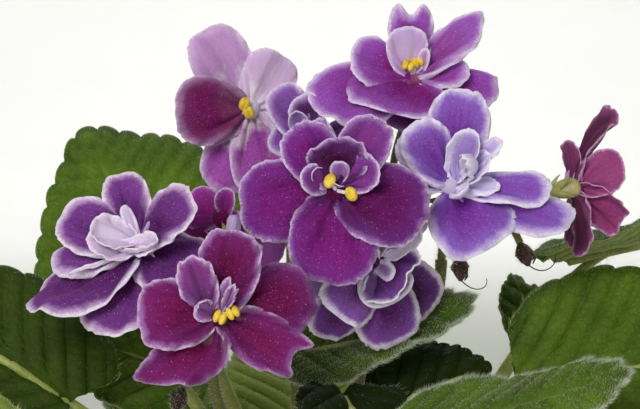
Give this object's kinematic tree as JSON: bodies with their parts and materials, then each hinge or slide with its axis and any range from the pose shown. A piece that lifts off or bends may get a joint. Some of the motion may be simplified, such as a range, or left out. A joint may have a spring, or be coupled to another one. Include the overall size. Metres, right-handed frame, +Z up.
{
  "type": "potted african violet",
  "caption": "Potted African violet with hairy scalloped leaves on long stalks and semi-double purple blooms with white edges.",
  "frame": {"origin": "middle of the pot's foot, on the surface that it stands on", "axes": "+Z up, and the side that is seen in the picture faces -Y, with +X to its right"},
  "size_m": [0.2461, 0.2152, 0.2469],
  "materials": {
    "pot": "matt fired clay",
    "soil": "loose dark potting mix",
    "crown": "matt living stem",
    "leaf": "velvety green with short white hairs",
    "stalk": "hairy olive green",
    "petal_magenta": "velvety magenta purple with white edges",
    "petal_wine": "velvety magenta red with white edges",
    "petal_violet": "velvety violet with white edges",
    "petal_bright": "velvety bright magenta purple with white edges",
    "petal_orchid": "velvety pale orchid with a white throat",
    "petal_reverse": "dusty magenta backs of the petals",
    "anther": "smooth yellow",
    "bud": "matt pale lilac",
    "dried": "papery dark brown"
  },
  "bodies": {
    "root": {"anthers_backLeft": "anther", "anthers_centre": "anther", "anthers_frontLeft": "anther", "anthers_top": "anther", "bloom_backLeft": "petal_orchid", "bloom_bottom": "petal_violet", "bloom_centre": "petal_magenta", "bloom_farRight": "petal_reverse", "bloom_frontLeft": "petal_wine", "bloom_hidden": "petal_wine", "bloom_left": "petal_violet", "bloom_midBack": "petal_violet", "bloom_right": "petal_violet", "bloom_top": "petal_bright", "bud_left": "bud", "crown": "crown", "dried_farRight": "dried", "dried_left": "dried", "dried_right": "dried", "leaf_backLeft": "leaf", "leaf_backRight": "leaf", "leaf_behindLeft": "leaf", "leaf_behindRight": "leaf", "leaf_farLeft": "leaf", "leaf_front": "leaf", "leaf_lowBack": "leaf", "leaf_lowBackLeft": "leaf", "leaf_lowFront": "leaf", "leaf_lowLeft": "leaf", "leaf_lowNearLeft": "leaf", "leaf_lowNearRight": "leaf", "leaf_lowRight": "leaf", "leaf_midBack": "leaf", "leaf_midLeft": "leaf", "leaf_midRight": "leaf", "leaf_nearLeft": "leaf", "leaf_nearRight": "leaf", "leaf_right": "leaf", "leaf_shaded": "leaf", "leaf_underFront": "leaf", "pot": "pot", "soil": "soil", "stalk_back": "stalk", "stalk_centre": "stalk", "stalk_left": "stalk", "stalk_right": "stalk", "stalk_top": "stalk"}
  },
  "joints": []
}
